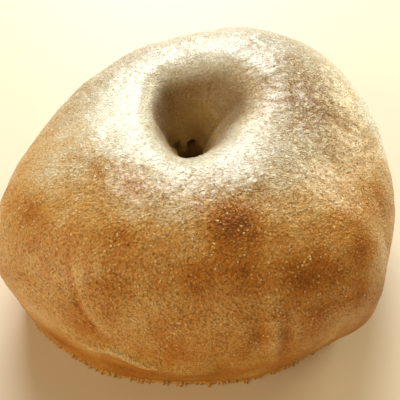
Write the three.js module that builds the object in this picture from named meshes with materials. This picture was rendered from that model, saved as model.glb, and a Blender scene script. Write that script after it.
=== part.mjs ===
// A plain bagel: one uncut ring of boiled and baked dough. It rose until the hole almost closed,
// so the hole is a wide funnel above, a narrow throat half-way down, and a dome-shaped hollow below.
// Millimetres, +Z up, resting on z = 0, with the origin under the middle of the ring's outline.
import * as THREE from "three";

// Where the throat's axis stands, seen from above: it is off the middle, as the ring is uneven.
const HOLE_X = -3.0;
const HOLE_Y = 2.3;

// Twelve values round the ring, one every 30 degrees, counter-clockwise from +X about that axis.
const OUTER_RADIUS = [52.7, 54.0, 53.2, 46.7, 42.3, 40.3, 43.9, 54.5, 54.7, 54.6, 56.5, 55.5];
const BASE_RADIUS = [44.3, 47.9, 46.8, 40.3, 35.6, 34.1, 34.4, 52.7, 53.7, 51.9, 53.4, 45.9];
const CREST_RADIUS = [23.0, 24.0, 22.5, 20.5, 19.5, 15.2, 13.2, 15.7, 20.3, 25.7, 23.2, 20.5];
const CREST_HEIGHT = [44.0, 45.4, 45.0, 43.4, 42.0, 42.0, 41.8, 43.0, 44.0, 44.0, 44.0, 43.0];
const LIP_ROUNDING = [12.0, 12.0, 11.5, 10.5, 9.5, 7.4, 6.4, 9.1, 10.8, 11.3, 12.4, 13.0];
const FUNNEL_RADIUS = [6.0, 5.5, 5.5, 7.0, 9.5, 9.0, 9.0, 7.6, 9.6, 11.8, 9.7, 8.8];

// Local lumps and hollows of those curves: [angle in degrees, size, half-width in degrees].
const OUTER_LUMPS = [
  [75, 1.9, 8.6],
  [106, -1.8, 12.9],
  [203, -2.2, 6.6],
  [315, 3.2, 6.2],
];
const BASE_LUMPS = [[314, 4.6, 6.2]];
const THROAT_LUMPS = [
  [150, 0.5, 16],
  [112, -0.7, 13],
  [75, 0.5, 15],
  [270, 0.4, 40],
];

const BULGE_HEIGHT = 16.0; // where the side wall is widest
const TOP_FULLNESS = 2.3; // exponent of the crust's curve from there up to the crest: 2 is an ellipse
const FUNNEL_HEIGHT = 30.0; // where the funnel runs steepest
const THROAT_RADIUS = 3.4;
const THROAT_HEIGHT = 26.0;
const FOOT_RADIUS = 12.0; // inner edge of the flat base

// The side wall is nearly straight where it tucks under by less than the first of these,
// and a quarter ellipse where it tucks under by more than the second.
const STRAIGHT_TUCK = 3;
const ROUND_TUCK = 8;

// The torn edge of the base shows along the near side, and fades out round the back.
const TORN_MIDDLE = 262;
const TORN_SPREAD = 48;
const TORN_DEPTH = 0.9;
const TORN_HEIGHT = 1.3;
const TORN_SCALLOPS = 71;
const TORN_TEETH = 113;

// A fold of dough lies low on the near left side: [angle, height] of its two ends.
const FOLD_START = [243, 20.4];
const FOLD_END = [278, 16.6];
const FOLD_HEIGHT = 1.2;
const FOLD_WIDTH = 1.6;

// Creases and dents in the outer skin, then in the funnel's wall:
// [angle, height above the table, depth, half-width in degrees, half-height].
const DENTS = [
  [285.6, 28, 0.5, 1.3, 4.5],
  [288.4, 27, -0.5, 1.4, 5.0],
  [291.2, 25, 0.5, 1.3, 4.5],
  [277.5, 19, 0.6, 2.2, 4.0],
  [243, 36, 0.35, 1.8, 2.6],
  [246, 32, 0.35, 1.6, 2.4],
  [249, 28, 0.3, 1.6, 2.4],
  [318, 20, 0.8, 7.0, 6.0],
  [262, 26, 0.6, 9.0, 5.0],
];
const FUNNEL_DENTS = [
  [17, 35, 0.5, 6.0, 9.0],
  [88, 24.0, 1.8, 18.0, 1.8],
  [150, 27.2, 1.8, 11.0, 1.1],
];

// Grid of the surface: steps round the ring, and points along each part of its section.
const AROUND_STEPS = 144;
const CROWN_STEPS = 13;
const FUNNEL_STEPS = 10;
const HOLLOW_STEPS = 5;
const BASE_STEPS = 2;
const SIDE_STEPS = 8;

const RIGHT_ANGLE = Math.PI / 2;

// A smooth closed curve through equally spaced values round the ring; angle in degrees.
function around(values, angle) {
  const place = (angle / 360) * values.length;
  const cell = Math.floor(place);
  const t = place - cell;
  const [a, b, c, d] = [-1, 0, 1, 2].map((k) => values[(cell + k + values.length) % values.length]);
  const bend = (2 * a - 5 * b + 4 * c - d) * t ** 2 + (3 * b - a - 3 * c + d) * t ** 3;
  return 0.5 * (2 * b + (c - a) * t + bend);
}

// A bell curve of height 1 at one angle, with the given half-width in degrees.
function bell(angle, middle, width) {
  const apart = ((((angle - middle + 180) % 360) + 360) % 360) - 180;
  return Math.exp(-0.5 * (apart / width) ** 2);
}

function lumps(list, angle) {
  return list.reduce((sum, [middle, size, width]) => sum + size * bell(angle, middle, width), 0);
}

// How far the torn edge sticks out at one angle: scallops with smaller teeth on them.
function tornEdge(angle) {
  const turn = THREE.MathUtils.degToRad(angle);
  const scallop = Math.abs(Math.sin((TORN_SCALLOPS * turn) / 2 + Math.sin(5 * turn)));
  const teeth = Math.sin((TORN_TEETH * turn) / 2);
  return TORN_DEPTH * (scallop + 0.3 * teeth - 0.5) * bell(angle, TORN_MIDDLE, TORN_SPREAD);
}

// Depth of a list of dents at one place: a bell curve round the ring times one up the wall.
function dents(list, angle, height) {
  return list.reduce(
    (sum, [middle, level, depth, width, tall]) =>
      sum + depth * bell(angle, middle, width) * Math.exp(-0.5 * ((height - level) / tall) ** 2),
    0,
  );
}

// Height of the skin over the smooth form: slow unevenness, the fold and the dents.
function relief(angle, radius, height) {
  const turn = THREE.MathUtils.degToRad(angle);
  const slow =
    0.35 * Math.sin(5 * turn + 0.11 * radius) * Math.sin(0.13 * height + 2 * turn) +
    0.25 * Math.sin(9 * turn - 0.16 * radius + 1.3) * Math.cos(0.17 * height - 3 * turn);
  const along = (angle - FOLD_START[0]) / (FOLD_END[0] - FOLD_START[0]);
  const foldLine = FOLD_START[1] + (FOLD_END[1] - FOLD_START[1]) * along;
  const foldEnds = along > 0 && along < 1 ? Math.sin(Math.PI * along) ** 0.5 : 0;
  const outside = radius > 30 ? 1 : 0;
  const inside = radius < 20 ? 1 : 0;
  const fold = FOLD_HEIGHT * foldEnds * outside * Math.exp(-(((height - foldLine) / FOLD_WIDTH) ** 2));
  const pressed = outside * dents(DENTS, angle, height) + inside * dents(FUNNEL_DENTS, angle, height);
  const clearOfThroat = Math.min(1, Math.max(0, (radius - 10) / 20));
  const clearOfBase = Math.min(1, height / 3);
  return (slow * clearOfThroat + fold - pressed) * clearOfBase;
}

// The closed section at one angle, as [radius, height] points: from the bulge up over the crown,
// down the funnel to the throat, out under the hollow, along the base and up the side again.
function section(angle) {
  const outer = around(OUTER_RADIUS, angle) + lumps(OUTER_LUMPS, angle);
  const crest = around(CREST_RADIUS, angle);
  const top = around(CREST_HEIGHT, angle);
  const lip = crest - around(LIP_ROUNDING, angle);
  const funnel = around(FUNNEL_RADIUS, angle);
  const base = around(BASE_RADIUS, angle) + lumps(BASE_LUMPS, angle);
  const throat = THROAT_RADIUS + lumps(THROAT_LUMPS, angle);
  const points = [];
  for (let i = 0; i < CROWN_STEPS; i++) {
    const t = (RIGHT_ANGLE * i) / CROWN_STEPS;
    const out = Math.cos(t) ** (2 / TOP_FULLNESS);
    const up = Math.sin(t) ** (2 / TOP_FULLNESS);
    points.push([crest + (outer - crest) * out, BULGE_HEIGHT + (top - BULGE_HEIGHT) * up]);
  }
  const wall = new THREE.CubicBezierCurve(
    new THREE.Vector2(crest, top),
    new THREE.Vector2(lip, top),
    new THREE.Vector2(funnel, FUNNEL_HEIGHT),
    new THREE.Vector2(throat, THROAT_HEIGHT),
  );
  for (let i = 0; i < FUNNEL_STEPS; i++) points.push(wall.getPoint(i / FUNNEL_STEPS).toArray());
  for (let i = 0; i < HOLLOW_STEPS; i++) {
    const t = (RIGHT_ANGLE * i) / HOLLOW_STEPS;
    points.push([throat + (FOOT_RADIUS - throat) * (1 - Math.cos(t)), THROAT_HEIGHT * (1 - Math.sin(t))]);
  }
  const torn = tornEdge(angle);
  for (let i = 0; i < BASE_STEPS; i++) {
    points.push([FOOT_RADIUS + ((base + torn - FOOT_RADIUS) * i) / BASE_STEPS, 0]);
  }
  const tuck = outer - base;
  const roundness = THREE.MathUtils.smoothstep(tuck, STRAIGHT_TUCK, ROUND_TUCK);
  for (let i = 0; i < SIDE_STEPS; i++) {
    const t = (RIGHT_ANGLE * i) / SIDE_STEPS;
    const up = 1 - Math.cos(t);
    const out = roundness * Math.sin(t) + (1 - roundness) * (up + up ** 2 - up ** 3);
    const height = BULGE_HEIGHT * up;
    points.push([base + tuck * out + torn * Math.exp(-height / TORN_HEIGHT), height]);
  }
  return points;
}

// The section with its relief: each point moves along the section's own outward direction.
function skin(angle) {
  const points = section(angle);
  return points.map(([radius, height], i) => {
    const [r0, z0] = points[(i + points.length - 1) % points.length];
    const [r1, z1] = points[(i + 1) % points.length];
    const length = Math.hypot(r1 - r0, z1 - z0);
    const rise = relief(angle, radius, height) / length;
    return [radius + (z1 - z0) * rise, height - (r1 - r0) * rise];
  });
}

// The whole ring as one closed grid of triangles, with the two edges of the grid joined both ways.
function ring() {
  const positions = [];
  const faces = [];
  const count = CROWN_STEPS + FUNNEL_STEPS + HOLLOW_STEPS + BASE_STEPS + SIDE_STEPS;
  for (let i = 0; i < AROUND_STEPS; i++) {
    const angle = (360 * i) / AROUND_STEPS;
    const turn = THREE.MathUtils.degToRad(angle);
    const next = (i + 1) % AROUND_STEPS;
    skin(angle).forEach(([radius, height], j) => {
      positions.push(HOLE_X + radius * Math.cos(turn), HOLE_Y + radius * Math.sin(turn), height);
      const after = (j + 1) % count;
      const [a, b, c, d] = [i * count + j, next * count + j, next * count + after, i * count + after];
      faces.push(a, b, c, a, c, d);
    });
  }
  const geometry = new THREE.BufferGeometry();
  geometry.setAttribute("position", new THREE.Float32BufferAttribute(positions, 3));
  geometry.setIndex(faces);
  geometry.computeVertexNormals();
  return geometry;
}

const crust = new THREE.MeshStandardMaterial({ color: 0xb98548, roughness: 0.55, metalness: 0 });
const bagel = new THREE.Mesh(ring(), crust);
bagel.name = "bagel";

const part = new THREE.Group();
part.add(bagel);

export default part;
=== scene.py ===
"""A plain bagel on a pale table: one ring of boiled and baked dough, made around its CAD frame."""

import math

import bpy
import numpy as np
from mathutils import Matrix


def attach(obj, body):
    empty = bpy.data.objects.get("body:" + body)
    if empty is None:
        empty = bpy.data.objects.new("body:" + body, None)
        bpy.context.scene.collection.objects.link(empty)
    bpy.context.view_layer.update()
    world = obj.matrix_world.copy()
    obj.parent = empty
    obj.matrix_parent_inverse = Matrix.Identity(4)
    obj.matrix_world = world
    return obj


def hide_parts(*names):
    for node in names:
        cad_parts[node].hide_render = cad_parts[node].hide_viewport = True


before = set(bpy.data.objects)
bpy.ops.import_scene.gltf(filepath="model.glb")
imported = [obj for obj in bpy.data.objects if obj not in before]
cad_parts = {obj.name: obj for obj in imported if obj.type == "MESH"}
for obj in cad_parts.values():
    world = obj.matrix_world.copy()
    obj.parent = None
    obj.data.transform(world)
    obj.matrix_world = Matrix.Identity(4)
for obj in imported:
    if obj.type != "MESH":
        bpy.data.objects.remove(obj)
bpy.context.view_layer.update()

# Camera
# It stands close above the near edge, in metres, and looks down on the ring at the
# photograph's angle. Its focal length is worked out from the photograph's frame.
CAMERA_AT = (-0.00035, -0.0803, 0.1074)
CAMERA_TILT = math.radians(51.1)  # below the horizon
FOCAL_PIXELS = 429.0
PHOTO_PIXELS = 400
SENSOR_MM = 36.0
NEAREST_SEEN = 0.01

camera_data = bpy.data.cameras.new("camera")
camera_data.sensor_width = SENSOR_MM
camera_data.lens = SENSOR_MM * FOCAL_PIXELS / PHOTO_PIXELS
camera_data.clip_start = NEAREST_SEEN
camera = bpy.data.objects.new("camera", camera_data)
camera.location = CAMERA_AT
camera.rotation_euler = (math.pi / 2 - CAMERA_TILT, 0.0, 0.0)
bpy.context.collection.objects.link(camera)
bpy.context.scene.camera = camera

# Crust
# The skin of the ring: wheat dough, shaped by hand, boiled for a moment and baked on a tray.
# It swelled until the hole was a funnel above, a narrow throat half-way down and a hollow below.
MM = 0.001

# Where the throat's axis stands, in millimetres like all that follows: off the ring's middle.
HOLE_X = -3.0
HOLE_Y = 2.3

# Twelve values round the ring, one every 30 degrees counter-clockwise from +X.
OUTER_RADIUS = [52.7, 54.0, 53.2, 46.7, 42.3, 40.3, 43.9, 54.5, 54.7, 54.6, 56.5, 55.5]
BASE_RADIUS = [44.3, 47.9, 46.8, 40.3, 35.6, 34.1, 34.4, 52.7, 53.7, 51.9, 53.4, 45.9]
CREST_RADIUS = [23.0, 24.0, 22.5, 20.5, 19.5, 15.2, 13.2, 15.7, 20.3, 25.7, 23.2, 20.5]
CREST_HEIGHT = [44.0, 45.4, 45.0, 43.4, 42.0, 42.0, 41.8, 43.0, 44.0, 44.0, 44.0, 43.0]
LIP_ROUNDING = [12.0, 12.0, 11.5, 10.5, 9.5, 7.4, 6.4, 9.1, 10.8, 11.3, 12.4, 13.0]
FUNNEL_RADIUS = [6.0, 5.5, 5.5, 7.0, 9.5, 9.0, 9.0, 7.6, 9.6, 11.8, 9.7, 8.8]

# Local lumps of those curves: angle in degrees, size, half-width in degrees.
OUTER_LUMPS = [(75, 1.9, 8.6), (106, -1.8, 12.9), (203, -2.2, 6.6), (315, 3.2, 6.2)]
BASE_LUMPS = [(314, 4.6, 6.2)]
THROAT_LUMPS = [(150, 0.5, 16), (112, -0.7, 13), (75, 0.5, 15), (270, 0.4, 40)]

BULGE_HEIGHT = 16.0
TOP_FULLNESS = 2.3
FUNNEL_HEIGHT = 30.0
THROAT_RADIUS = 3.4
THROAT_HEIGHT = 26.0
FOOT_RADIUS = 12.0

# The side wall is nearly straight where it tucks under by less than the first of these,
# and a quarter ellipse where it tucks under by more than the second.
STRAIGHT_TUCK = 3
ROUND_TUCK = 8

# Past the first of these radii is the outer skin, and within the second the funnel's wall.
OUTER_SKIN = 30
FUNNEL_WALL = 20

# A fold of dough low on the near left side: angle and height of its two ends.
FOLD_START = (243, 20.4)
FOLD_END = (278, 16.6)
FOLD_HEIGHT = 1.2
FOLD_WIDTH = 1.6

# The fold's sharp upper edge and the shadow under it, strongest at one angle.
FOLD_MIDDLE = 257
FOLD_REACH = 7.5
FOLD_EDGE_HEIGHT = 0.55
FOLD_EDGE_WIDTH = 0.5
UNDER_FOLD_DROP = 1.7
UNDER_FOLD_DEPTH = 0.45
UNDER_FOLD_WIDTH = 0.9

# A shallow groove runs down to the fold, with a low bank beside it:
# angle and height of its two ends, then sizes, with the widths in degrees.
GROOVE_TOP = (239.0, 39.0)
GROOVE_FOOT = (251.5, 24.0)
GROOVE_DEPTH = 0.18
GROOVE_WIDTH = 0.8
BANK_HEIGHT = 0.05
BANK_WIDTH = 1.3
BANK_APART = 2.2

# A small pit low in the funnel, beside the throat: x, y and z of its middle.
PIT = (-6.5, 5.2, 25.8)
PIT_DEPTH = 1.3
PIT_RADIUS = 0.5

# Creases and dents outside, then in the funnel: angle, height, depth, half-width in degrees, half-height.
DENTS = [
    (285.6, 28, 0.5, 1.3, 4.5),
    (288.4, 27, -0.5, 1.4, 5.0),
    (291.2, 25, 0.5, 1.3, 4.5),
    (277.5, 19, 0.6, 2.2, 4.0),
    (243, 36, 0.35, 1.8, 2.6),
    (246, 32, 0.35, 1.6, 2.4),
    (249, 28, 0.3, 1.6, 2.4),
    (318, 20, 0.8, 7.0, 6.0),
    (262, 26, 0.6, 9.0, 5.0),
]
FUNNEL_DENTS = [
    (17, 35, 0.5, 6.0, 9.0),
    (88, 24.0, 1.8, 18.0, 1.8),
    (150, 27.2, 1.8, 11.0, 1.1),
]

# Heights of the finer relief: slow swells, ripples, puckers round the hole, streaks in the funnel.
SWELL_HEIGHT = 0.07
RIPPLE_HEIGHT = 0.03
PUCKER_HEIGHT = 0.1
STREAK_HEIGHT = 0.035

# Where the skin puckered as the hole closed: angle, amount and half-width in degrees,
# first out over the crown, then close to the hole only.
EVEN_PUCKER = 0.2
PUCKER_SIDES = [(20, 1.0, 52), (140, 0.6, 28)]
PUCKER_LIP = [(270, 0.35, 40)]

# Steps of the grid round the ring, and along each part of its section.
AROUND_STEPS = 520
CROWN_STEPS = 98
FUNNEL_STEPS = 48
HOLLOW_STEPS = 12
BASE_STEPS = 6
SIDE_STEPS = 26


def closed_curve(values, degrees):
    """Smooth closed curve through equally spaced values: a Catmull-Rom cubic in each cell."""
    place = degrees / 360 * len(values)
    cell = np.floor(place).astype(int)
    t = place - cell
    a, b, c, d = (np.asarray(values)[(cell + k) % len(values)] for k in (-1, 0, 1, 2))
    bend = (2 * a - 5 * b + 4 * c - d) * t**2 + (3 * b - a - 3 * c + d) * t**3
    return 0.5 * (2 * b + (c - a) * t + bend)


def bell(degrees, middle, width):
    """Bell curve of height 1 at one angle: e to the minus half the squared distance in widths."""
    apart = (degrees - middle + 180) % 360 - 180
    return np.exp(-0.5 * (apart / width) ** 2)


def lumps(places, degrees):
    """Sum of bells, each with its own size."""
    return sum(size * bell(degrees, middle, width) for middle, size, width in places)


def fade(values, start, width):
    """Straight ramp from 0 at the start to 1 a width further on, which may lie below the start."""
    return np.clip((values - start) / width, 0, 1)


def between(start, end, share):
    """Point on the straight line from start to end: share 0 is the start, share 1 the end."""
    return start + (end - start) * share


def crust_section(degrees):
    """Closed section at each angle: a superellipse from the bulge to the crest, a cubic down the
    funnel, a quarter ellipse under the hollow, the flat base, and the side wall, which is a
    quarter ellipse where it tucks far under and a nearly straight cubic where it hardly does."""
    a = degrees[:, None]
    outer = closed_curve(OUTER_RADIUS, a) + lumps(OUTER_LUMPS, a)
    base = closed_curve(BASE_RADIUS, a) + lumps(BASE_LUMPS, a)
    crest = closed_curve(CREST_RADIUS, a)
    top = closed_curve(CREST_HEIGHT, a)
    lip = crest - closed_curve(LIP_ROUNDING, a)
    funnel = closed_curve(FUNNEL_RADIUS, a)
    throat = THROAT_RADIUS + lumps(THROAT_LUMPS, a)
    tuck = outer - base

    t = np.linspace(0, math.pi / 2, CROWN_STEPS, endpoint=False)
    crown_r = crest + (outer - crest) * np.cos(t) ** (2 / TOP_FULLNESS)
    crown_z = BULGE_HEIGHT + (top - BULGE_HEIGHT) * np.sin(t) ** (2 / TOP_FULLNESS)
    t = np.linspace(0, 1, FUNNEL_STEPS, endpoint=False)
    w0, w1, w2, w3 = (1 - t) ** 3, 3 * t * (1 - t) ** 2, 3 * t * t * (1 - t), t**3
    funnel_r = w0 * crest + w1 * lip + w2 * funnel + w3 * throat
    funnel_z = (w0 + w1) * top + w2 * FUNNEL_HEIGHT + w3 * THROAT_HEIGHT
    t = np.linspace(0, math.pi / 2, HOLLOW_STEPS, endpoint=False)
    hollow_r = throat + (FOOT_RADIUS - throat) * (1 - np.cos(t))
    hollow_z = THROAT_HEIGHT * (1 - np.sin(t)) + 0 * throat
    t = np.linspace(0, 1, BASE_STEPS, endpoint=False)
    base_r = FOOT_RADIUS + (base - FOOT_RADIUS) * t
    t = np.linspace(0, math.pi / 2, SIDE_STEPS, endpoint=False)
    up = 1 - np.cos(t)
    share = fade(tuck, STRAIGHT_TUCK, ROUND_TUCK - STRAIGHT_TUCK)
    roundness = share**2 * (3 - 2 * share)
    side_r = base + tuck * (roundness * np.sin(t) + (1 - roundness) * (up + up**2 - up**3))
    side_z = BULGE_HEIGHT * up + 0 * base
    radius = np.concatenate([crown_r, funnel_r, hollow_r, base_r, side_r], axis=1)
    height = np.concatenate([crown_z, funnel_z, hollow_z, 0 * base_r, side_z], axis=1)
    return radius, height


def large_relief(a, radius, height):
    """Slow unevenness from two products of sines, plus the fold and minus the dents."""
    turn = np.radians(a)
    slow = 0.35 * np.sin(5 * turn + 0.11 * radius) * np.sin(0.13 * height + 2 * turn)
    slow += 0.25 * np.sin(9 * turn - 0.16 * radius + 1.3) * np.cos(0.17 * height - 3 * turn)
    slow *= fade(radius, 10, 20)
    along = (a - FOLD_START[0]) / (FOLD_END[0] - FOLD_START[0])
    fold_line = between(FOLD_START[1], FOLD_END[1], along)
    fold_ends = np.sqrt(np.clip(np.sin(math.pi * np.clip(along, 0, 1)), 0, 1))
    outside = radius > OUTER_SKIN
    fold = FOLD_HEIGHT * fold_ends * outside * np.exp(-(((height - fold_line) / FOLD_WIDTH) ** 2))
    dents = 0
    for places, where in ((DENTS, outside), (FUNNEL_DENTS, radius < FUNNEL_WALL)):
        for middle, level, depth, width, tall in places:
            up_wall = np.exp(-0.5 * ((height - level) / tall) ** 2)
            dents += depth * where * bell(a, middle, width) * up_wall
    return (slow + fold - dents) * fade(height, 0, 3)


def plane_waves(points, wavelength, count, seed):
    """Random smooth field of about unit size: cosines along seeded random directions."""
    draw = np.random.default_rng(seed)
    direction = draw.normal(size=(3, count))
    direction /= np.linalg.norm(direction, axis=0)
    lengths = wavelength * draw.uniform(0.75, 1.35, count)
    phase = draw.uniform(0, 2 * math.pi, count)
    waves = np.cos(points @ (2 * math.pi * direction / lengths) + phase)
    return waves.sum(axis=-1) * math.sqrt(2 / count)


def grid_normals(points):
    """Unit normals of a grid closed both ways: cross product of the central differences."""
    along = np.roll(points, -1, 0) - np.roll(points, 1, 0)
    across = np.roll(points, -1, 1) - np.roll(points, 1, 1)
    normal = np.cross(along, across)
    return normal / np.linalg.norm(normal, axis=2, keepdims=True)


def closed_grid_faces(rows, columns):
    """Quads of a grid whose two edges are joined both ways, wound so that they face outwards."""
    i, j = np.meshgrid(np.arange(rows), np.arange(columns), indexing="ij")
    k, m = (i + 1) % rows, (j + 1) % columns
    corners = [i * columns + j, k * columns + j, k * columns + m, i * columns + m]
    return np.stack(corners, axis=-1).reshape(-1, 4)


def mesh_piece(name, points, faces):
    """Puts arrays of points, in millimetres, and of faces into a smooth mesh object."""
    mesh = bpy.data.meshes.new(name)
    sides = faces.shape[1]
    mesh.vertices.add(len(points))
    mesh.vertices.foreach_set("co", (points * MM).astype(np.float32).ravel())
    mesh.loops.add(faces.size)
    mesh.loops.foreach_set("vertex_index", faces.astype(np.int32).ravel())
    mesh.polygons.add(len(faces))
    mesh.polygons.foreach_set("loop_start", np.arange(0, faces.size, sides, dtype=np.int32))
    mesh.polygons.foreach_set("use_smooth", np.ones(len(faces), dtype=bool))
    mesh.update(calc_edges=True)
    mesh.validate()
    piece = bpy.data.objects.new(name, mesh)
    bpy.context.collection.objects.link(piece)
    return piece


def number_layers(piece, **layers):
    """Stores named numbers for each vertex, or one number for all, for the material to read."""
    for name, values in layers.items():
        layer = piece.data.attributes.new(name, "FLOAT", "POINT")
        spread = np.broadcast_to(np.ravel(values), len(piece.data.vertices))
        layer.data.foreach_set("value", spread.astype(np.float32))


angles = np.arange(AROUND_STEPS) * 360 / AROUND_STEPS
angle = angles[:, None]
radius, height = crust_section(angles)
step_r = np.roll(radius, -1, 1) - np.roll(radius, 1, 1)
step_z = np.roll(height, -1, 1) - np.roll(height, 1, 1)
rise = large_relief(angle, radius, height) / np.hypot(step_r, step_z)
radius, height = radius + step_z * rise, height - step_r * rise
turn = np.radians(angle)
skin = np.stack([HOLE_X + radius * np.cos(turn), HOLE_Y + radius * np.sin(turn), height], axis=-1)

# Shares from 0 to 1 of each place that belong to a region of the ring.
off_base = fade(height, 0, 2.5)
on_crown = fade(height, 26, 12)
near_hole = fade(radius, 46, -16)
in_funnel = fade(radius, 13, -6) * (height > 1)
outside = radius > OUTER_SKIN

# Puckers, swells and ripples.
puckered = on_crown * (EVEN_PUCKER + lumps(PUCKER_SIDES, angle) + lumps(PUCKER_LIP, angle) * near_hole)
puckered = np.clip(puckered * near_hole, 0, 1)
puckered *= (1 - 0.5 * in_funnel) * (1 - 0.5 * fade(radius, 24, -8))
puckers = np.minimum(np.abs(plane_waves(skin, wavelength=3.6, count=90, seed=4)), 1.2) - 0.7
fine = SWELL_HEIGHT * plane_waves(skin, wavelength=10.0, count=60, seed=1)
fine += RIPPLE_HEIGHT * plane_waves(skin, wavelength=4.2, count=80, seed=2)
fine += RIPPLE_HEIGHT * on_crown * plane_waves(skin, wavelength=2.3, count=90, seed=3)
fine += PUCKER_HEIGHT * puckered * puckers

# The fold's edge wanders a little above the fold, and rises in the middle.
along_fold = (angle - FOLD_START[0]) / (FOLD_END[0] - FOLD_START[0])
fold_line = between(FOLD_START[1], FOLD_END[1], along_fold) + 0.3 * np.sin(0.5 * angle)
fold_line += 0.5 + 0.9 * bell(angle, FOLD_MIDDLE, 7)
fold_reach = bell(angle, FOLD_MIDDLE, FOLD_REACH) * outside
above_fold = height - fold_line
fold_edge = fold_reach * np.exp(-((above_fold / FOLD_EDGE_WIDTH) ** 2))
under_fold = fold_reach * np.exp(-(((above_fold + UNDER_FOLD_DROP) / UNDER_FOLD_WIDTH) ** 2))
fine += FOLD_EDGE_HEIGHT * fold_edge - UNDER_FOLD_DEPTH * under_fold

# The groove leans as it runs down, and dies out over its last 3 mm at both ends.
down_groove = (GROOVE_TOP[1] - height) / (GROOVE_TOP[1] - GROOVE_FOOT[1])
groove_line = between(GROOVE_TOP[0], GROOVE_FOOT[0], down_groove)
groove_reach = fade(height, GROOVE_TOP[1], -3) * fade(height, GROOVE_FOOT[1], 3) * outside
in_groove = bell(angle, groove_line + 0.4 * np.sin(height), GROOVE_WIDTH) * groove_reach
beside_groove = bell(angle, groove_line + BANK_APART, BANK_WIDTH) * groove_reach
fine += BANK_HEIGHT * beside_groove - GROOVE_DEPTH * in_groove

# Streaks run down the funnel: waves on a tall, narrow cylinder, so that they hardly change downwards.
streak_space = np.stack([16 * np.cos(turn) + 0 * radius, 16 * np.sin(turn) + 0 * radius, 0.45 * height], -1)
streaks = plane_waves(streak_space, wavelength=2.0, count=60, seed=31)
fine += STREAK_HEIGHT * streaks * in_funnel * fade(radius, 5, 5)
from_pit = np.linalg.norm(skin - np.array(PIT), axis=-1)
fine -= PIT_DEPTH * np.exp(-0.5 * (from_pit / PIT_RADIUS) ** 2)

outward = grid_normals(skin)
skin = skin + outward * (fine * off_base)[..., None]
crust = mesh_piece("crust", skin.reshape(-1, 3), closed_grid_faces(*height.shape))

# How brown the crust is, from 0 for pale dough to 1 for the darkest patch; painted sheen, highlight and
# shade are added into the same numbers.
EVEN_BROWN = 0.45
# The crown and the back are paler: partly paler dough, partly painted sheen of the light from behind.
PALER_TOP_AND_PAINTED_SHEEN = 0.36
# Paler still along the lip: partly paler dough, partly painted highlight.
PALER_LIP_AND_PAINTED_HIGHLIGHT = 0.12
# Browner low on the wall: painted shade.
FOOT_PAINTED_SHADE = 0.15
BLOTCHES = 0.045
SMALL_BLOTCHES = 0.025

# Browner patches, and paler ones with a minus sign: x, y, z, reach and strength.
BROWN_PATCHES = [
    (6, -34, 43, 3.4, 0.5),
    (5, -36, 42, 6.5, 0.16),
    (-14, -24.5, 44, 1.8, 0.22),
    (-17, -27, 43, 8.0, 0.14),
    (21, 3, 44.5, 12.0, 0.11),
    (-22, -21, 43, 2.2, 0.16),
    (-35, -28, 37, 1.3, 0.1),
    (-35, -32, 36, 3.2, 0.06),
    (-28, -35, 37, 3.0, 0.1),
    (-10, -37, 41, 3.6, 0.11),
    (-16, -35, 41, 1.8, 0.04),
    (19, -41, 36, 2.4, 0.28),
    (21, -40, 36, 5.5, 0.12),
    (23, -39, 36, 1.9, 0.1),
    (8, -42, 38, 2.6, 0.22),
    (-16, -43, 36, 3.4, 0.18),
    (32, -34, 36, 2.2, 0.22),
    (31, -31, 37, 5.0, 0.06),
    (-2, -28, 44, 4.0, 0.05),
    (34, -40, 29, 3.4, 0.04),
    (30, -44, 24, 7.0, 0.09),
    (18, -47, 27, 8.0, 0.08),
    (-36, -35, 31, 7.0, 0.06),
    (-1, -43, 38, 2.2, 0.12),
    (-14.9, -30.9, 42.5, 1.4, -0.1),
    (-6.9, -32.0, 43.1, 2.4, -0.08),
    (-11.9, -6.2, 42.0, 0.5, 0.3),
    (43.6, -0.5, 34.9, 0.7, 0.35),
    (19.9, 0.4, 43.8, 0.5, 0.16),
    (21.2, 0.7, 43.8, 0.5, 0.16),
    (22.3, 1.1, 43.8, 0.5, 0.16),
    (10, -18.8, 44, 1.2, 0.15),
    (14, -1, 43, 6.0, 0.06),
    (21, -15, 43, 7.0, -0.03),
    (-31, -13, 41, 8.0, -0.02),
    (-14, 20, 42, 8.0, 0.09),
    (-17, -41, 38, 3.0, -0.06),
    (0, -52, 23, 7.0, 0.12),
    (22, -5, 43, 2.0, 0.1),
    (36, 0, 41, 1.3, 0.07),
    (41, -6, 37, 1.4, 0.1),
    (25, -33, 39, 2.0, 0.08),
    (31, -22, 40, 2.4, 0.08),
    (47, 4, 33, 9.0, -0.2),
    (31, 13, 43, 10.0, 0.1),
]

# Brown lines of painted shade in the creases of the near side, and pale ones of painted highlight on their
# ridges, as lumps round the ring about one height.
CREASE_PAINTED_SHADING = [(285.6, 0.04, 0.8), (288.2, -0.1, 0.7), (291.0, 0.05, 0.7), (293.0, -0.08, 0.6)]
CREASE_HEIGHT = 26
CREASE_REACH = 7

# Depth in the funnel, which sets its painted shade, is counted from just under the crest, 1 being this many
# millimetres down.
LIP_DEPTH = 0.8
FUNNEL_DEPTH = 18

towards_back = np.clip((skin[..., 1] + 20) / 32, 0, 1.1)
off_left_end = np.clip((skin[..., 0] + 48) / 30, 0.3, 1)
# Paler crown and back half: partly paler dough, partly painted sheen of the light from behind.
pale_back_and_painted_sheen = fade(height, 18, 12) * towards_back * off_left_end
pale_and_painted_sheen = np.maximum(on_crown * fade(radius, 43, -20), pale_back_and_painted_sheen)
brown = EVEN_BROWN - PALER_TOP_AND_PAINTED_SHEEN * pale_and_painted_sheen
# Paler along the lip: partly paler dough, partly painted highlight.
brown -= PALER_LIP_AND_PAINTED_HIGHLIGHT * on_crown * fade(radius, 26, -8) * (1 - bell(angle, 10, 50))
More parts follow.
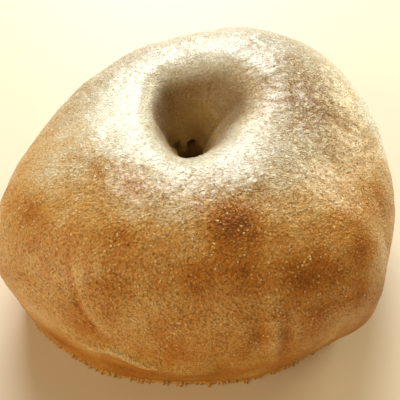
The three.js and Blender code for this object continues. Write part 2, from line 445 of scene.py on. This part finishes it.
# Painted shade: browner low on the wall, below 20 mm.
brown += FOOT_PAINTED_SHADE * fade(height, 20, -8)
brown += BLOTCHES * (1 - 0.8 * pale_and_painted_sheen) * plane_waves(skin, wavelength=15.0, count=50, seed=5)
brown += SMALL_BLOTCHES * plane_waves(skin, wavelength=6.0, count=70, seed=6)
for x, y, z, reach, strength in BROWN_PATCHES:
    away = np.linalg.norm(skin - np.array([x, y, z]), axis=-1)
    brown += strength * np.exp(-0.5 * (away / reach) ** 2)
# Painted shade in the creases and painted highlight on their ridges.
crease = np.exp(-(((height - CREASE_HEIGHT) / CREASE_REACH) ** 2)) * outside
brown += crease * lumps(CREASE_PAINTED_SHADING, angle)
# Painted shade in the groove and under the fold, painted highlight on the groove's bank and on the fold's
# edge.
brown += 0.12 * in_groove - 0.06 * beside_groove + 0.12 * under_fold - 0.2 * fold_edge
brown = np.clip(brown, 0, 1)

LEAST_BLISTERED = 0.15
blistered = np.clip((height - 8) / 24, LEAST_BLISTERED, 1) * (1 - 0.8 * in_funnel)
# Painted shade in the funnel: its amount grows with depth below the lip.
below_lip = closed_curve(CREST_HEIGHT, angle) - LIP_DEPTH - height
deep = np.clip(below_lip / FUNNEL_DEPTH + 0.012 * streaks * in_funnel, 0, 1) * (radius < FUNNEL_WALL)
number_layers(crust, brown=brown, blistered=blistered, puckered=puckered, deep=deep)


def add_node(tree, kind, **settings):
    """Adds a node: names with an underscore in front are input values, the others its options."""
    made = tree.nodes.new(kind)
    for name, value in settings.items():
        if name.startswith("_"):
            made.inputs[name[1:]].default_value = value
        else:
            setattr(made, name, value)
    return made


def crust_material():
    """Baked crust: colour from its browning, which carries painted sheen, highlight and shade too, with
    speckles, pores, blisters, painted shade in the funnel and the cracks, and a soft gloss.
    """
    material = bpy.data.materials.new("baked_crust")
    material.use_nodes = True
    tree = material.node_tree
    tree.nodes.clear()
    link = tree.links.new
    out = add_node(tree, "ShaderNodeOutputMaterial")
    shader = add_node(tree, "ShaderNodeBsdfPrincipled")
    link(shader.outputs["BSDF"], out.inputs["Surface"])
    shader.inputs["Specular IOR Level"].default_value = 0.12
    shader.inputs["Coat Roughness"].default_value = 0.39
    shader.inputs["Coat IOR"].default_value = 1.6
    place = add_node(tree, "ShaderNodeTexCoord").outputs["Object"]

    def layer(name):
        return add_node(tree, "ShaderNodeAttribute", attribute_name=name).outputs["Fac"]

    def noise(scale, detail, roughness):
        made = add_node(tree, "ShaderNodeTexNoise", _Scale=scale, _Detail=detail, _Roughness=roughness)
        link(place, made.inputs["Vector"])
        return made.outputs["Fac"]

    def cells(scale):
        made = add_node(tree, "ShaderNodeTexVoronoi", _Scale=scale, _Randomness=1.0)
        link(place, made.inputs["Vector"])
        return made.outputs["Distance"]

    def calc(operation, *values):
        made = add_node(tree, "ShaderNodeMath", operation=operation)
        for socket, value in zip(made.inputs, values):
            if isinstance(value, (int, float)):
                socket.default_value = value
            else:
                link(value, socket)
        return made.outputs[0]

    def plus(first, second):
        return calc("ADD", first, second)

    def minus(first, second):
        return calc("SUBTRACT", first, second)

    def times(first, second):
        return calc("MULTIPLY", first, second)

    def ramp(value, low, high, to_low=0.0, to_high=1.0):
        made = add_node(tree, "ShaderNodeMapRange", interpolation_type="SMOOTHSTEP")
        link(value, made.inputs["Value"])
        for name, number in zip(("From Min", "From Max", "To Min", "To Max"), (low, high, to_low, to_high)):
            made.inputs[name].default_value = number
        return made.outputs["Result"]

    def colour_ramp(value, stops):
        made = add_node(tree, "ShaderNodeValToRGB")
        band = made.color_ramp
        while len(band.elements) < len(stops):
            band.elements.new(0.5)
        for element, (position, colour) in zip(band.elements, stops):
            element.position = position
            element.color = (*colour, 1.0)
        link(value, made.inputs["Fac"])
        return made.outputs["Color"]

    brown_layer = layer("brown")
    blister_layer = layer("blistered")
    pucker_layer = layer("puckered")
    deep_layer = layer("deep")

    # Patterns in the skin, from the coarse mottling of a few millimetres to specks of half of one.
    mottle = noise(300.0, 4.0, 0.6)
    speckle = noise(1700.0, 3.0, 0.7)
    specks = ramp(noise(1800.0, 2.0, 0.6), 0.53, 0.64)
    patchy = ramp(noise(420.0, 3.0, 0.6), 0.3, 0.65, 0.35, 1.0)
    grains = times(ramp(cells(1500.0), 0.05, 0.6, 1.0, 0.0), times(patchy, blister_layer))
    pores = ramp(cells(420.0), 0.05, 0.14, 1.0, 0.0)
    wrinkles = calc("ABSOLUTE", minus(noise(700.0, 3.0, 0.7), 0.5))
    puckers = times(ramp(wrinkles, 0.0, 0.12), pucker_layer)
    crack_shade = times(ramp(wrinkles, 0.0, 0.06, 1.0, 0.0), pucker_layer)
    rumples = noise(1250.0, 2.0, 0.65)

    # Colour: the brownness, varied by the patterns, picks a shade from pale dough to dark brown.
    tone = plus(brown_layer, times(minus(mottle, 0.5), 0.22))
    tone = plus(tone, times(minus(speckle, 0.5), 0.45))
    tone = minus(tone, times(grains, 0.22))
    tone = plus(tone, times(pores, 0.25))
    # Paler on the raised puckers, browner between them: painted highlight and shade of the wrinkles, on a
    # puckered skin a little browner overall.
    tone = minus(tone, times(puckers, 0.16))
    tone = plus(tone, times(pucker_layer, 0.06))
    crust_colour = colour_ramp(tone, [
        (0.0, (0.90, 0.88, 0.71)),
        (0.2, (0.81, 0.62, 0.33)),
        (0.4, (0.69, 0.39, 0.095)),
        (0.6, (0.53, 0.21, 0.022)),
        (0.8, (0.35, 0.115, 0.009)),
        (1.0, (0.20, 0.058, 0.004)),
    ])
    # In the funnel the colour turns to a darker olive brown just under the lip, a little lighter further
    # down: painted shade where little light reaches.
    funnel_shade_colour = colour_ramp(deep_layer, [
        (0.3, (0.39, 0.24, 0.08)),
        (0.6, (0.54, 0.37, 0.145)),
        (1.0, (0.48, 0.31, 0.105)),
    ])
    shaded_funnel = add_node(tree, "ShaderNodeMix", data_type="RGBA")
    link(ramp(deep_layer, 0.0, 0.25), shaded_funnel.inputs["Factor"])
    link(crust_colour, shaded_funnel.inputs["A"])
    link(funnel_shade_colour, shaded_funnel.inputs["B"])

    # Specks darken it, partly as dark specks and partly as painted shade in their little pits, and cracks
    # darken it as painted shade in the wrinkle valleys, both in a warm tan and less on the palest skin;
    # fine speckles go both ways.
    off_pale = ramp(brown_layer, 0.04, 0.3, 0.3, 1.0)
    shade = times(times(times(specks, off_pale), blister_layer), 0.45)
    shade = plus(shade, times(times(crack_shade, off_pale), 1.2))
    shade = plus(shade, times(minus(0.55, speckle), 0.9))
    specks_and_shade = add_node(tree, "ShaderNodeMix", data_type="RGBA", blend_type="MULTIPLY", clamp_factor=False)
    link(shade, specks_and_shade.inputs["Factor"])
    link(shaded_funnel.outputs["Result"], specks_and_shade.inputs["A"])
    specks_and_shade.inputs["B"].default_value = (0.52, 0.41, 0.23, 1.0)
    link(specks_and_shade.outputs["Result"], shader.inputs["Base Color"])

    # Gloss: a thin boiled glaze, dull on the brown patches and in the specks, and floury where pale.
    glazed = times(blister_layer, ramp(brown_layer, 0.35, 0.75, 1.0, 0.1))
    link(times(glazed, minus(1.0, times(specks, 0.8))), shader.inputs["Coat Weight"])
    link(ramp(brown_layer, 0.08, 0.34, 0.35, 0.0), shader.inputs["Sheen Weight"])
    smoothness = plus(times(mottle, 0.5), times(grains, 0.5))
    link(ramp(smoothness, 0.1, 0.8, 0.6, 0.4), shader.inputs["Roughness"])

    # Bump of the same patterns, in millimetres.
    surface = plus(times(grains, 0.34), times(speckle, 0.6))
    surface = plus(surface, times(puckers, 0.7))
    surface = plus(surface, times(times(rumples, plus(pucker_layer, 0.35)), 1.1))
    surface = minus(surface, times(pores, 0.1))
    surface = minus(surface, times(specks, 0.2))
    bump = add_node(tree, "ShaderNodeBump", _Strength=1.0, _Distance=MM)
    link(surface, bump.inputs["Height"])
    link(bump.outputs["Normal"], shader.inputs["Normal"])
    return material


baked_crust = crust_material()
crust.data.materials.append(baked_crust)
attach(crust, "root")
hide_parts("bagel")

# Blisters
# Small domes that steam raised in the skin while the ring was boiled and baked. They are part
# of the crust, paler than it, partly as paler skin and partly as painted glint, and thickest on the crown.
BLISTER_COUNT = 8000
BLISTER_RADIUS = (0.1, 0.28)
BLISTER_FLATNESS = (0.2, 0.38)  # height over radius
BLISTER_ROOT = 0.1  # depth of its underside in the skin
BLISTER_SHADE = (0.25, 0.9)  # brownness over that of the skin round it
BLISTER_SIDES = 6


def blister_domes():
    """Closed domes at random places on the crust: an apex, two rings and a sunk underside each.
    A place is drawn from the grid's cells in proportion to their area and to how blistered they are."""
    draw = np.random.default_rng(21)
    along = np.roll(skin, -1, 0) - skin
    across = np.roll(skin, -1, 1) - skin
    area = np.linalg.norm(np.cross(along, across), axis=2)
    crowded = np.clip(0.6 + 0.6 * plane_waves(skin, wavelength=8.0, count=50, seed=22), 0.1, 2)
    likely = np.clip(blistered - LEAST_BLISTERED, 0, 1) * (height > 12) * (radius > 15)
    chance = (area * crowded * likely).ravel()
    cell = draw.choice(chance.size, BLISTER_COUNT, p=chance / chance.sum())
    i, j = np.unravel_index(cell, height.shape)
    middle = skin[i, j] + along[i, j] * draw.random((BLISTER_COUNT, 1))
    middle += across[i, j] * draw.random((BLISTER_COUNT, 1))
    up = outward[i, j]
    side = np.cross(up, along[i, j])
    side /= np.linalg.norm(side, axis=1, keepdims=True)
    front = np.cross(up, side)
    small, large = BLISTER_RADIUS
    size = small + (large - small) * draw.random(BLISTER_COUNT) ** 2.2
    tall = size * draw.uniform(*BLISTER_FLATNESS, BLISTER_COUNT)
    spokes = np.arange(BLISTER_SIDES) * 2 * math.pi / BLISTER_SIDES
    points = [middle + up * tall[:, None]]
    for share, level in ((0.62, 0.66), (1.0, -0.12)):
        for spoke in spokes:
            out = side * math.cos(spoke) + front * math.sin(spoke)
            points.append(middle + out * (size * share)[:, None] + up * (tall * level)[:, None])
    points.append(middle - up * BLISTER_ROOT)
    return np.stack(points, axis=1), cell


def dome_faces(count, sides):
    """Triangles of every dome: a cap, a belt of two for each side, and an underside."""
    k = np.arange(sides)
    n = (k + 1) % sides
    last = 1 + 2 * sides
    cap = np.stack([0 * k, 1 + k, 1 + n], axis=-1)
    belt_a = np.stack([1 + k, 1 + sides + k, 1 + sides + n], axis=-1)
    belt_b = np.stack([1 + k, 1 + sides + n, 1 + n], axis=-1)
    under = np.stack([last + 0 * k, 1 + sides + n, 1 + sides + k], axis=-1)
    one = np.concatenate([cap, belt_a, belt_b, under])
    return (one[None] + (np.arange(count) * (last + 1))[:, None, None]).reshape(-1, 3)


blister_points, blister_cells = blister_domes()
blister_faces = dome_faces(BLISTER_COUNT, BLISTER_SIDES)
blisters = mesh_piece("blisters", blister_points.reshape(-1, 3), blister_faces)
palest, brownest = BLISTER_SHADE
# Each blister's share of the skin's brownness: paler partly as paler skin, partly as painted glint.
paler_and_glint = palest + (brownest - palest) * np.random.default_rng(22).random(BLISTER_COUNT)
blister_brown = np.repeat(brown.ravel()[blister_cells] * paler_and_glint, blister_points.shape[1])
number_layers(blisters, brown=blister_brown, blistered=LEAST_BLISTERED, puckered=0, deep=0)
blisters.data.materials.append(baked_crust)
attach(blisters, "root")

# Torn edge
# A thin ragged skirt of crust round the foot, where the baked base tore away from the tray.
# It grew out of the base's rim and is longest on the near side.
SKIRT_STEPS = 2600
SKIRT_REACH = 1.6
SKIRT_HEIGHT = 1.3
SKIRT_BROWN = 0.42
TORN_MIDDLE = 262
TORN_SPREAD = 45


def torn_skirt():
    """Ring of thin wedges on the base's edge: its reach is a sum of ragged waves of three sizes,
    strongest on the near side."""
    a = np.arange(SKIRT_STEPS) * 360 / SKIRT_STEPS
    turns = np.radians(a)
    edge = closed_curve(BASE_RADIUS, a) + lumps(BASE_LUMPS, a)
    rim = np.stack([edge * np.cos(turns), edge * np.sin(turns), 0 * edge], axis=-1)
    scallops = np.minimum(np.abs(plane_waves(rim, wavelength=11.0, count=40, seed=11)), 1.5)
    teeth = np.minimum(np.abs(plane_waves(rim, wavelength=1.9, count=60, seed=12)), 1.1)
    hairs = np.clip(plane_waves(rim, wavelength=0.7, count=60, seed=14), 0, 1.3)
    ragged = 0.1 + 0.18 * scallops + 0.15 * teeth + 0.35 * hairs
    reach = SKIRT_REACH * ragged * (0.2 + 0.8 * bell(a, TORN_MIDDLE, TORN_SPREAD))
    lift = 0.12 + 0.35 * np.abs(plane_waves(rim, wavelength=5.0, count=40, seed=13))
    none = 0 * reach
    profile_r = np.stack([none - 1.6, 0.6 * reach, reach, 0.3 * reach, none - 0.5], axis=-1)
    profile_z = np.stack([none + 0.02, none + 0.02, lift, 0.35 + lift, none + SKIRT_HEIGHT], axis=-1)
    r = edge[:, None] + profile_r
    x = HOLE_X + r * np.cos(turns)[:, None]
    y = HOLE_Y + r * np.sin(turns)[:, None]
    return np.stack([x, y, profile_z], axis=-1)


skirt_points = torn_skirt()
skirt_faces = closed_grid_faces(*skirt_points.shape[:2])[:, ::-1]
skirt = mesh_piece("torn_edge", skirt_points.reshape(-1, 3), skirt_faces)
number_layers(skirt, brown=SKIRT_BROWN, blistered=0, puckered=0, deep=0)
skirt.data.materials.append(baked_crust)
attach(skirt, "root")

# Floor
# A plain pale table top, level with the flat base.
FLOOR_HALF = 1.5
FLOOR_COLOUR = (0.74, 0.66, 0.53)
FLOOR_ROUGHNESS = 0.6

corners = [(FLOOR_HALF * x, FLOOR_HALF * y, 0) for x, y in ((-1, -1), (1, -1), (1, 1), (-1, 1))]
floor_mesh = bpy.data.meshes.new("floor")
floor_mesh.from_pydata(corners, [], [(0, 1, 2, 3)])
floor = bpy.data.objects.new("floor", floor_mesh)
bpy.context.collection.objects.link(floor)
floor_paint = bpy.data.materials.new("pale_table")
floor_paint.use_nodes = True
floor_shader = floor_paint.node_tree.nodes["Principled BSDF"]
floor_shader.inputs["Base Color"].default_value = (*FLOOR_COLOUR, 1.0)
floor_shader.inputs["Roughness"].default_value = FLOOR_ROUGHNESS
floor_mesh.materials.append(floor_paint)

# Light
# Soft window light from behind, in two heights, and from behind on the right. A warm fill on the
# left, a weak one in front and a warm surround take the place of light from the room.
# Each light's place and size in metres, its watts and its colour:
LIGHTS = {
    "window_low": ((-0.12, 1.08, 0.52), (0.6, 0.4), 6.5, (0.98, 1.0, 0.96)),
    "window_high": ((-0.05, 0.84, 0.92), (0.6, 0.4), 13.0, (0.98, 1.0, 0.97)),
    "window_right": ((0.95, 0.85, 0.50), (0.6, 0.4), 9.5, (1.0, 0.93, 0.66)),
    "fill": ((-1.00, -0.55, 0.42), (0.9, 0.9), 7.8, (1.0, 0.75, 0.42)),
    "front": ((0.15, -1.00, 0.55), (0.9, 0.9), 2.0, (1.0, 0.72, 0.38)),
}
SURROUND = (1.0, 0.76, 0.47)
SURROUND_STRENGTH = 0.27

for name, (place, size, watts, colour) in LIGHTS.items():
    lamp = bpy.data.lights.new(name, "AREA")
    lamp.shape = "RECTANGLE"
    lamp.size, lamp.size_y = size
    lamp.energy = watts
    lamp.color = colour
    light = bpy.data.objects.new(name, lamp)
    light.location = place
    tilt = math.acos(place[2] / math.dist(place, (0, 0, 0)))
    light.rotation_euler = (tilt, 0.0, math.atan2(place[1], place[0]) + math.pi / 2)
    bpy.context.collection.objects.link(light)

world = bpy.data.worlds.new("surround")
world.use_nodes = True
background = world.node_tree.nodes["Background"]
background.inputs["Color"].default_value = (*SURROUND, 1.0)
background.inputs["Strength"].default_value = SURROUND_STRENGTH
bpy.context.scene.world = world
bpy.context.scene.view_settings.view_transform = "Standard"
